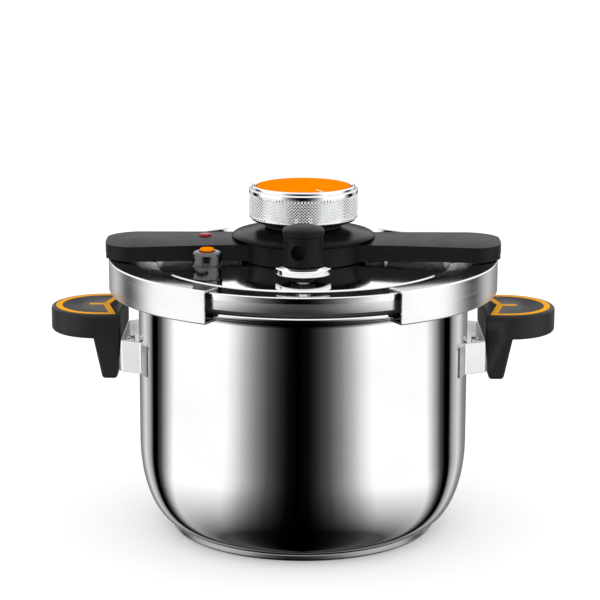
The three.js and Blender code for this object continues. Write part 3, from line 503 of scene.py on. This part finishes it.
def side_handle(side, angle):
    """A grip with an apron that hangs from it, and a groove in its top for the inlay."""
    low, high = span("side_handle_right")
    inner, tip, half_width = low.x, high.x, high.y
    top, foot = high.z, low.z
    under = top - GRIP_HEIGHT
    apron = inner + APRON_DEPTH
    grip_from = apron + APRON_BLEND
    edge_radius, hollow_radius = 2.2, 5.5

    def under_fold(vert):
        return abs(vert.co.x - grip_from) < 0.01

    bm = grip_face(inner, tip, half_width, under)
    score(bm, (grip_from, 0, 0), (1, 0, 0))
    raised(bm, bm.faces[:], GRIP_HEIGHT)
    bmesh.ops.recalc_face_normals(bm, faces=bm.faces)
    bmesh.ops.dissolve_edges(bm, edges=[
        edge for edge in bm.edges if all(under_fold(v) and v.co.z > under + 1 for v in edge.verts)])
    flat = next(face for face in bm.faces if face.normal.z < -0.9 and face.calc_center_median().x < apron)
    for vert in points_of(bmesh.ops.extrude_face_region(bm, geom=[flat])["geom"]):
        vert.co.z = foot
        vert.co.x += APRON_TAPER if vert.co.x < apron - APRON_BLEND else -APRON_TAPER - APRON_BLEND
    bmesh.ops.recalc_face_normals(bm, faces=bm.faces)
    bevel_sharp(bm, hollow_radius, 6, where=lambda edge: all(
        under_fold(v) and abs(v.co.z - under) < 0.01 for v in edge.verts))
    bevel_sharp(bm, edge_radius, 5, angle=SHARP)
    band = notched_band(bm, top_face(bm), INLAY_INSET - edge_radius)
    # The top face inside the inlay is coloured grey as painted sheen.
    top_face(bm, band).material_index = 1
    raised(bm, band, -INLAY_DEPTH)
    bmesh.ops.recalc_face_normals(bm, faces=bm.faces)
    turn(bm, angle)
    piece = show(bm, f"handle_{side}", PHENOLIC)
    piece.data.materials.append(PAINTED_SHEEN_PANEL)
    piece.visible_glossy = False
    install(piece, "pot", "bakelite", f"side_handle_{side}")

    inlay = grip_face(inner, tip, half_width, top - INLAY_DEPTH)
    inlay.faces.ensure_lookup_table()
    clearance, edge_round = 0.05, 0.5
    band = set(notched_band(inlay, inlay.faces[0], INLAY_INSET + clearance))
    bmesh.ops.delete(inlay, geom=[face for face in inlay.faces if face not in band], context="FACES")
    raised(inlay, inlay.faces[:], INLAY_DEPTH + INLAY_PROUD)
    clean(inlay)
    bevel_sharp(inlay, edge_round, 3, angle=45)
    stem_from = inner + INLAY_INSET + INLAY_NOTCH + 1.2
    stem = box_of((stem_from, -INLAY_WIDTH / 2, top - INLAY_DEPTH),
                  (stem_from + INLAY_STEM + 1, INLAY_WIDTH / 2, top + INLAY_PROUD))
    bevel_sharp(stem, edge_round, 3)
    absorb(inlay, stem)
    turn(inlay, angle)
    install(show(inlay, f"inlay_{side}", AMBER), "pot", "orange_rubber", f"handle_inlay_{side}")


# ---------------------------------------------------------------- lid and seal

def lid():
    """A falling crown, a step down to the flange, a curled edge, and a skirt at the front and back."""
    low, high = span("lid_shell")
    edge, crown_top = high.x, high.z
    flange_top = crown_top - FLANGE_STEP
    crown = edge - FLANGE_REACH
    crown_edge = crown_top - CROWN_FALL
    flange_foot = crown_edge - CROWN_STEP
    curl, skirt = flange_top - CURL_DROP, low.z
    section = [
        (0, crown_top), (crown / 2, crown_top - 0.1, 20), (crown - 2, crown_edge + 0.08),
        (crown - 0.2, crown_edge, 0.15), (crown, flange_foot, 0.15), (crown + 2, flange_foot + 0.15),
        (edge - 2, flange_top - 0.1), (edge, flange_top, 0.8), (edge, flange_top - 2), (edge, curl),
        (edge, skirt)]
    bm = turned(section, closed=False, steps=192)

    def skirt_faces():
        return [face for face in bm.faces if face.calc_center_median().z < curl]

    for side in (-1, 1):
        score(bm, (side * TAB_HALF_WIDTH, 0, 0), (1, 0, 0), around_faces(skirt_faces()))
    outside = [face for face in skirt_faces() if abs(face.calc_center_median().x) > TAB_HALF_WIDTH]
    bmesh.ops.delete(bm, geom=outside, context="FACES")
    tab_corners = [vert for vert in bm.verts
                   if vert.co.z < skirt + 0.01 and abs(abs(vert.co.x) - TAB_HALF_WIDTH) < 0.01]
    for corner in tab_corners:
        round_corner(bm, corner, 2.5, 5)
    clean(bm)
    if max(bm.faces, key=lambda face: face.calc_center_median().z).normal.z < 0:
        bmesh.ops.reverse_faces(bm, faces=bm.faces)
    for face in skirt_faces():
        face.material_index = 1
    piece = show(bm, "lid", LID_STEEL)
    piece.data.materials.append(SATIN)
    sheet = piece.modifiers.new("sheet", "SOLIDIFY")
    sheet.thickness, sheet.offset, sheet.use_even_offset = LID_SHEET * MM, -1, True
    install(piece, "lid", "polished_steel", "lid_shell")


def seal():
    """A ring with two lips that face inwards."""
    low, high = span("sealing_gasket")
    outer, bottom, top = high.x, low.z, high.z
    inner = outer - 11
    lip = inner - 5
    section = [
        (lip, bottom, 0.5), (outer, bottom, 1.2), (outer, top, 1.0), (lip, top, 0.8), (lip, top - 2.4, 0.6),
        (inner, top - 3.6, 1.2), (inner, bottom + 3, 1.2), (lip, bottom + 1.6, 0.5)]
    install(show_round(section, "seal", SEAL, closed=True), "lid", "silicone", "sealing_gasket")


# ---------------------------------------------------------------- jaws

def jaw(side, angle):
    """A channel that takes in the lid's edge and the vessel's rim. Its top lip falls towards the middle."""
    node = f"jaw_{side}"
    low, high = span(node)
    outer = max(high.x, -low.x)
    bottom, top = low.z, high.z
    inside, over_lid, under_rim = outer - JAW_SHEET, outer - JAW_TOP_REACH, outer - JAW_BOTTOM_REACH
    section = [
        (under_rim, bottom, 0.7), (outer, bottom, 1.6), (outer, top, 1.3),
        (over_lid, top - JAW_LIP_FALL, 0.4), (over_lid, top - JAW_SHEET, 0.4),
        (inside, top - JAW_SHEET, 0.6), (inside, bottom + JAW_SHEET, 0.6), (under_rim, bottom + JAW_SHEET, 0.7)]
    bm = sector(section, angle - JAW_HALF_ANGLE, angle + JAW_HALF_ANGLE, 72)
    bevel_sharp(bm, 0.4, 2, angle=60)
    for face in bm.faces:
        face.material_index = int(face.normal.z > 0.9)
    piece = show(bm, f"clamp_jaw_{side}", JAW_STEEL)
    piece.data.materials.append(LID_STEEL)
    install(piece, f"{side}_jaw", "polished_steel", node)


# ---------------------------------------------------------------- bridge

def bridge_face(inset=0):
    """The beam's plan, seen from above: a waist in the middle and a rounded end each way."""
    end = span("bridge_beam")[1].x
    tip, neck = end - inset, end - BRIDGE_CORNER
    half, waist = BRIDGE_HALF_WIDTH - inset, BRIDGE_WAIST - inset
    waist_round, corner_round = (14, 5), (BRIDGE_CORNER - inset, 14)     # radius, and segments
    plan = [((-BRIDGE_WAIST_AT, -waist), waist_round), ((BRIDGE_WAIST_AT, -waist), waist_round),
            ((neck, -half), None), ((tip, -half), corner_round), ((tip, half), corner_round),
            ((neck, half), None), ((BRIDGE_WAIST_AT, waist), waist_round),
            ((-BRIDGE_WAIST_AT, waist), waist_round), ((-neck, half), None),
            ((-tip, half), corner_round), ((-tip, -half), corner_round), ((-neck, -half), None)]
    bm = bmesh.new()
    corners = [bm.verts.new((*place, 0)) for place, _ in plan]
    for corner, after in zip(corners, corners[1:] + corners[:1]):
        bm.edges.new((corner, after))
    for corner, (_, rounding) in zip(corners, plan):
        if rounding:
            round_corner(bm, corner, *rounding)
    bmesh.ops.remove_doubles(bm, verts=bm.verts, dist=1e-3)
    bmesh.ops.edgeloop_fill(bm, edges=bm.edges)
    return bm


def pulled(bm, height):
    """Draws every open edge of a face to a level, and closes the far side."""
    for vert in points_of(bmesh.ops.extrude_edge_only(bm, edges=open_edges(bm))["geom"]):
        vert.co.z = height
    bmesh.ops.holes_fill(bm, edges=open_edges(bm), sides=0)
    return clean(bm)


def bridge():
    """A hollow beam, domed and falling at both ends, and the barrel round its middle."""
    low, high = span("bridge_beam")
    shoulder = high.z - BRIDGE_DOME
    bm = bridge_face()
    for y in (*(-line for line in reversed(BRIDGE_DOME_LINES)), 0, *BRIDGE_DOME_LINES):
        score(bm, (0, y, 0), (0, 1, 0))
    droop_from = high.x - BRIDGE_DROOP_OVER
    for step in range(BRIDGE_DROOP_STEPS):
        for side in (-1, 1):
            line = droop_from + BRIDGE_DROOP_OVER * step / BRIDGE_DROOP_STEPS
            score(bm, (side * line, 0, 0), (1, 0, 0))
    for vert in bm.verts:
        across = vert.co.y / BRIDGE_HALF_WIDTH
        past = max(0, abs(vert.co.x) - droop_from) / BRIDGE_DROOP_OVER
        vert.co.z = shoulder + BRIDGE_DOME * (1 - across ** 2) - BRIDGE_DROOP * past ** 2
    pulled(bm, BRIDGE_BOTTOM)
    lowest_edge = shoulder - BRIDGE_DROOP - 1
    bevel_sharp(bm, 2.4, 5, angle=50, where=lambda edge: edge.verts[0].co.z > lowest_edge)
    beam = show(bm, "bridge", BEAM_BLACK)
    below = BRIDGE_BOTTOM - 5
    cavity = bridge_face(BRIDGE_WALL)
    move(cavity, z=shoulder - BRIDGE_WALL - BRIDGE_DROOP / 2)
    carve(beam, pulled(cavity, below))
    half_tunnel, tunnel_top = ARM_TUNNEL
    carve(beam, box_of((low.x - 1, -half_tunnel, below), (high.x + 1, half_tunnel, tunnel_top)))
    pin = middle("float_pin")
    carve(beam, move(rod(FLOAT_HOLE, shoulder - 6, high.z + 2), pin.x, pin.y))
    install(beam, "lid", "bakelite", "bridge_beam")

    hub, barrel_bottom = high.y, low.z
    beside_arms = math.asin(half_tunnel / hub)
    wall = [(hub - BRIDGE_WALL, barrel_bottom), (hub, barrel_bottom, 0.6), (hub, HUB_TOP, 0.6),
            (hub - BRIDGE_WALL, HUB_TOP)]
    barrel = bmesh.new()
    for start in (0, math.pi):
        absorb(barrel, sector(wall, start + beside_arms, start + math.pi - beside_arms, 64))
    install(show(barrel, "bridge_hub", BEAM_BLACK), "lid", "bakelite")


def hub_cover():
    """A dished cover round the knob's shaft."""
    low, high = span("hub_cover")
    edge, bottom, top = high.x, low.z, high.z
    bore = 7.8
    section = [
        (bore, bottom), (edge - 3.5, bottom, 1.2), (edge - 0.4, bottom + 1.4, 0.8), (edge, bottom + 2.2, 0.8),
        (edge - 1.6, bottom + 3.6, 1.6), (edge - 9, top - 2.2, 6), (edge - 20, top, 6), (bore, top)]
    install(show_round(section, "saucer", COVER_BLACK, closed=True), "lid", "bakelite", "hub_cover")


# ---------------------------------------------------------------- knob

def knob():
    low, high = span("knob_ring")
    outer, bottom, top = high.x, low.z, high.z
    inner = outer - 3
    knurl_bottom, knurl_top = bottom + 3.0, top - 3.6
    root, band = outer - KNURL_DEPTH, outer - 0.1
    section = [
        (inner, bottom + 0.8), (outer - 3.4, bottom, 0.4), (outer - 1.3, bottom + 1.0, 0.8),
        (band, knurl_bottom - 0.15, 0.3), (root, knurl_bottom), (root, knurl_top),
        (band, knurl_top + 0.15, 0.3), (band, top - 0.5, 0.4), (outer - 1.0, top, 0.4), (inner, top - 0.8)]
    install(show_round(section, "knob_bands", CHROME, closed=True, steps=160), "knob", "chrome", "knob_ring")
    diamonds = knurling(root, outer, knurl_bottom, knurl_top)
    install(show(diamonds, "knob_knurling", CHROME, sharp=10), "knob", "chrome")

    core_low, core_high = span("knob_core")
    foot, neck = core_low.z, 28.5
    skirt, edge = neck + 0.8, inner - 0.3
    core = [
        (0, foot), (neck, foot, 1.2), (neck, foot + 2.6, 0.5), (skirt, foot + 3.0, 0.4),
        (skirt, bottom + 0.6, 1.5), (edge, bottom + 1.6), (edge, core_high.z), (0, core_high.z)]
    install(show_round(core, "knob_body", PHENOLIC), "knob", "bakelite", "knob_core")

    bezel_low, bezel_high = span("knob_bezel")
    rim, sill = bezel_high.x, bezel_high.x - 3.4
    bottom, top = bezel_low.z, bezel_high.z
    bezel = [
        (sill, bottom), (rim - 1.2, bottom), (rim, bottom + 0.8), (rim, top - 0.6, 0.5),
        (rim - 0.8, top, 0.4), (sill, top - 0.8, 0.2)]
    install(show_round(bezel, "knob_rim", CHROME, closed=True), "knob", "chrome", "knob_bezel")

    disc_low, disc_high = span("knob_disc")
    edge, bottom, top = disc_high.x, disc_low.z, disc_high.z
    disc = [(0, bottom), (edge, bottom), (edge, top, 0.6), (edge - 3, top, 0.5), (0, top)]
    install(show_round(disc, "knob_face", ORANGE), "knob", "orange_plastic", "knob_disc")

    mark_low, mark_high = span("knob_pointer")
    centre = (mark_low + mark_high) / 2
    half_width, half_length, proud = 0.8, MARK_LENGTH / 2, 0.15
    mark = box_of((-half_width, -half_length, mark_low.z), (half_width, half_length, mark_high.z + proud))
    bevel_sharp(mark, 0.3, 2)
    turn(mark, MARK_TURN)
    move(mark, centre.x, centre.y)
    install(show(mark, "knob_mark", CHROME), "knob", "chrome", "knob_pointer")


def knurling(root, peak, bottom, top):
    """A band of diamond points: a grid wrapped round the ring, with its cells poked and joined."""
    around = round(TURN * root / KNURL_PITCH)
    bm = bmesh.new()
    heights = [bottom + (top - bottom) * row / KNURL_ROWS for row in range(KNURL_ROWS + 1)]
    column = [bm.verts.new((root, 0, height)) for height in heights]
    for first, second in zip(column, column[1:]):
        bm.edges.new((first, second))
    bmesh.ops.spin(bm, geom=bm.verts[:] + bm.edges[:], cent=(0, 0, 0), axis=UP, angle=TURN,
                   steps=around, use_merge=True)
    clean(bm)
    first_face = bm.faces[:][0]
    if first_face.normal.dot(first_face.calc_center_median()) < 0:
        bmesh.ops.reverse_faces(bm, faces=bm.faces)
    sides = [edge for edge in bm.edges if len(edge.link_faces) == 2]
    bmesh.ops.poke(bm, faces=bm.faces[:])
    bmesh.ops.dissolve_edges(bm, edges=sides)
    diamonds = [face for face in bm.faces if len(face.verts) == 4]
    bmesh.ops.poke(bm, faces=diamonds, offset=peak - root, center_mode="MEAN")
    return bm


# ---------------------------------------------------------------- pressure regulator

def across(node):
    """Half of a round node's width."""
    low, high = span(node)
    return (high.x - low.x) / 2


def regulator():
    """A waisted black weight with a port and a cap, on a dished collar, a washer and its tube."""
    centre = middle("regulator_weight")
    weight_low, weight_high = span("regulator_weight")
    bottom, top = weight_low.z, weight_high.z
    radius = across("regulator_weight")
    foot, body = radius + 0.7, radius - 0.7
    barrel = [
        (0, bottom + 0.8), (7.2, bottom + 0.8), (8, bottom), (foot, bottom, 0.6), (foot, bottom + 1.2, 0.8),
        (radius - 0.1, bottom + 7, 8), (body, bottom + 14, 6), (body, top, 0.4), (0, top)]
    weight = show_round(barrel, "regulator_barrel", VALVE_BLACK, centre, steps=96)
    port = rod(PORT_RADIUS, 6, 30)
    turn(port, math.pi / 2, "X")
    turn(port, PORT_TURN)
    move(port, centre.x, centre.y, bottom + PORT_HEIGHT)
    carve(weight, port)
    install(weight, "regulator", "bakelite", "regulator_weight")

    cap_low, cap_high = span("regulator_cap")
    rim = across("regulator_cap") - 0.5
    neck, seat, crown = rim - 1.0, cap_low.z, cap_high.z - 0.8
    cap = [
        (0, seat), (neck, seat, 0.3), (neck, seat + 0.7, 0.2), (rim, seat + 1.0, 0.4), (rim, seat + 4.6, 1.4),
        (rim - 2.6, crown - 1.6, 2.0), (rim - 7, crown, 3), (0, crown)]
    install(show_round(cap, "regulator_top", VALVE_BLACK, centre, steps=96),
            "regulator", "bakelite", "regulator_cap")

    collar_low, collar_high = span("vent_collar")
    edge = across("vent_collar")
    low, high = collar_low.z, collar_high.z
    collar = [
        (VENT_BORE, low), (edge - 0.6, low, 0.3), (edge, low + 0.6, 0.3), (edge, high - 1.6, 0.7),
        (foot + 0.8, high, 0.8), (VENT_BORE, high)]
    install(show_round(collar, "regulator_collar", CHROME, centre, closed=True, steps=96),
            "lid", "chrome", "vent_collar")

    pad_low, pad_high = span("vent_pad")
    edge = across("vent_pad")
    low, high = pad_low.z - CROWN_FALL / 2, pad_high.z
    pad = [(VENT_BORE, low), (edge, low, 0.3), (edge, high, 0.3), (VENT_BORE, high)]
    install(show_round(pad, "vent_washer", SEAL, centre, closed=True, steps=64), "lid", "silicone", "vent_pad")

    stem_low, stem_high = span("vent_stem")
    outer, bore = across("vent_stem"), 2
    low, high = stem_low.z, stem_high.z
    stem = [
        (bore, low), (outer, low, 0.6), (outer, high - 1.5, 0.6), (outer - 1.5, high, 0.4), (bore, high, 0.3)]
    install(show_round(stem, "vent_tube", CHROME, centre, closed=True, steps=64), "lid", "chrome", "vent_stem")


# ---------------------------------------------------------------- safety valve and float

def safety_valve():
    """A body with a groove round its waist and two rows of slots, and the button in its top."""
    body_low, body_high = span("safety_body")
    centre = (body_low + body_high) / 2
    radius, stem, well = across("safety_body"), 4.5, 5.9
    foot = span("lid_shell")[1].z - CROWN_FALL + 0.4
    top = body_high.z
    waist, groove = (foot + top) / 2, radius - 0.7
    section = [
        (0, body_low.z), (stem, body_low.z, 0.5), (stem, foot), (radius - 0.4, foot, 0.4),
        (radius, foot + 0.6, 0.3), (radius, waist - 0.7, 0.2), (groove, waist - 0.3, 0.2),
        (groove, waist + 0.3, 0.2), (radius, waist + 0.7, 0.2), (radius, top - 1.4, 1.2),
        (radius - 1.6, top, 0.9), (well, top, 0.3), (well, top - 1.4), (0, top - 1.4)]
    body = show_round(section, "safety_body_turned", GUNMETAL, centre, steps=96)
    slots = bmesh.new()
    for level in SLOT_LEVELS:
        for step in range(3):
            slot = box_of((-20, -SLOT_HALF_WIDTH, -SLOT_HALF_HEIGHT), (20, SLOT_HALF_WIDTH, SLOT_HALF_HEIGHT))
            bevel_sharp(slot, 0.9, 4, where=lambda edge: abs(edge.verts[0].co.x - edge.verts[1].co.x) > 1)
            turn(slot, (step + 0.5) * math.pi / 3)
            move(slot, centre.x, centre.y, foot + (top - foot) * level)
            absorb(slots, slot)
    carve(body, slots)
    install(body, "lid", "chrome", "safety_body")

    cap_low, cap_high = span("safety_cap")
    rim = across("safety_cap")
    cap = [(0, cap_low.z), (rim, cap_low.z, 0.2), (rim, cap_high.z, 0.8), (0, cap_high.z)]
    install(show_round(cap, "safety_button", ORANGE, centre, steps=64),
            "plunger", "orange_plastic", "safety_cap")


def float_button():
    low, high = span("float_button")
    rim = across("float_button")
    section = [(0, low.z), (rim, low.z, 0.3), (rim, high.z - 0.6, 0.8), (rim - 1.6, high.z, 1.2), (0, high.z)]
    install(show_round(section, "pressure_float", RED, middle("float_button"), steps=64),
            "float", "red_plastic", "float_button")


def carried_over():
    """Finishes for the frame's own pieces that stay as they are."""
    finishes = {
        ALUMINIUM: ["base_core_disc"],
        BRASS: ["shaft_bush_lower", "shaft_bush_upper"],
        SEAL: ["float_bush"],
        CHROME: ["knob_screw"],
        PLAIN: [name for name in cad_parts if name.startswith((
            "handle_screw", "arm_rail", "bridge_screw", "slide_arm", "cam_", "jaw_rivet", "knob_shaft",
            "vent_nut", "vent_guard", "safety_nut", "safety_plunger", "safety_spring", "float_pin"))],
    }
    for material, names in finishes.items():
        for name in names:
            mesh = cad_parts[name].data
            mesh.materials.clear()
            mesh.materials.append(material)


# ---------------------------------------------------------------- studio

CAMERA_PLACE = (0, -1.5, 0.5049)          # in metres
CAMERA_PITCH = math.radians(12.63)
CAMERA_ROLL = 0.003
CAMERA_LENS = 124.7
CAMERA_SHIFT = -0.00533                   # share of the picture's width


def camera():
    made = bpy.data.objects.new("camera", bpy.data.cameras.new("camera"))
    bpy.context.scene.collection.objects.link(made)
    made.data.lens = CAMERA_LENS
    made.data.sensor_width = 36
    made.data.shift_x = CAMERA_SHIFT
    made.data.clip_end = 50
    made.matrix_world = (Matrix.Translation(CAMERA_PLACE)
                         @ Matrix.Rotation(math.pi / 2 - CAMERA_PITCH, 4, "X")
                         @ Matrix.Rotation(CAMERA_ROLL, 4, "Z"))
    bpy.context.scene.camera = made


def floor():
    bm = bmesh.new()
    bmesh.ops.create_grid(bm, x_segments=1, y_segments=1, size=30000)
    move(bm, z=-0.2)
    made, shader = base_material("pale_floor", (0.97, 0.97, 0.97), 0.9, gloss=0.1)
    shader.inputs["Emission Color"].default_value = (1, 1, 1, 1)
    shader.inputs["Emission Strength"].default_value = 0.14
    plane = show(bm, "floor", made)
    plane.visible_glossy = False


# Brightness of the studio against the angle from the front, in degrees: a black card in the
# middle, a soft box on each side, another card, a strip light and the dim back of the room.
CARDS = ((0, 0.0), (7, 0.003), (12, 0.018), (20, 0.07), (28, 0.21), (36, 0.45), (43, 0.76), (50, 1.0),
         (96, 1.0), (105, 0.42), (112, 0.07), (118, 0.0), (125, 0.0), (131, 0.36), (141, 0.66),
         (153, 0.24), (180, 0.10))
CARDS_TURN = math.radians(3)
CARDS_TOP = (0.08, 0.22)                  # heights between which the cards give way to the white ceiling
UNDER_SHADE = (-0.85, -0.4, 0.06)         # heights between which it darkens to the floor, and how far
LEAN_FROM = 0.22                          # how far below level the cards begin to draw in
CARDS_LEAN = 0.7
MIRROR_LIGHT = 1.22
ROOM_LIGHT = 1.08


def studio():
    world = bpy.data.worlds.new("studio")
    bpy.context.scene.world = world
    world.use_nodes = True
    nodes, links = world.node_tree.nodes, world.node_tree.links
    nodes.clear()

    def calculate(operation, *values):
        node = nodes.new("ShaderNodeMath")
        node.operation = operation
        for socket, value in zip(node.inputs, values):
            if isinstance(value, (int, float)):
                socket.default_value = value
            else:
                links.new(value, socket)
        return node.outputs[0]

    way = nodes.new("ShaderNodeSeparateXYZ")
    links.new(nodes.new("ShaderNodeTexCoord").outputs["Generated"], way.inputs[0])
    x, y, z = way.outputs
    below = calculate("MAXIMUM", calculate("SUBTRACT", -LEAN_FROM, z), 0)
    forward = calculate("SUBTRACT", calculate("MULTIPLY", below, CARDS_LEAN), y)
    aside = calculate("ADD", calculate("ARCTAN2", x, forward), CARDS_TURN)
    share = calculate("DIVIDE", calculate("ABSOLUTE", aside), math.pi)
    ramp = nodes.new("ShaderNodeValToRGB")
    ramp.color_ramp.interpolation = "LINEAR"
    stops = ramp.color_ramp.elements
    while len(stops) > 1:
        stops.remove(stops[0])
    for index, (degrees, value) in enumerate(CARDS):
        stop = stops[0] if index == 0 else stops.new(degrees / 180)
        stop.position = degrees / 180
        stop.color = (value, value, value, 1)
    links.new(share, ramp.inputs[0])

    def ranged(value, start, end, least=0.0):
        node = nodes.new("ShaderNodeMapRange")
        node.inputs["From Min"].default_value = start
        node.inputs["From Max"].default_value = end
        node.inputs["To Min"].default_value = least
        links.new(value, node.inputs["Value"])
        return node.outputs["Result"]

    cards = nodes.new("ShaderNodeMix")
    cards.data_type = "RGBA"
    cards.inputs["B"].default_value = (1, 1, 1, 1)
    links.new(ranged(z, *CARDS_TOP), cards.inputs["Factor"])
    links.new(ramp.outputs["Color"], cards.inputs["A"])

    seen = nodes.new("ShaderNodeBackground")       # what mirrors see
    links.new(cards.outputs["Result"], seen.inputs["Color"])
    links.new(calculate("MULTIPLY", ranged(z, *UNDER_SHADE), MIRROR_LIGHT), seen.inputs["Strength"])
    soft = nodes.new("ShaderNodeBackground")       # what lights the room
    soft.inputs["Color"].default_value = (1, 1, 1, 1)
    soft.inputs["Strength"].default_value = ROOM_LIGHT
    mixed = nodes.new("ShaderNodeMixShader")
    links.new(nodes.new("ShaderNodeLightPath").outputs["Is Glossy Ray"], mixed.inputs[0])
    links.new(soft.outputs[0], mixed.inputs[1])
    links.new(seen.outputs[0], mixed.inputs[2])
    links.new(mixed.outputs[0], nodes.new("ShaderNodeOutputWorld").inputs[0])
    bpy.context.scene.view_settings.view_transform = "Standard"


camera()
vessel()
base()
for side, angle in (("right", 0), ("left", math.pi)):
    bracket(side, angle)
    side_handle(side, angle)
    jaw(side, angle)
lid()
seal()
bridge()
hub_cover()
knob()
regulator()
safety_valve()
float_button()
carried_over()
floor()
studio()
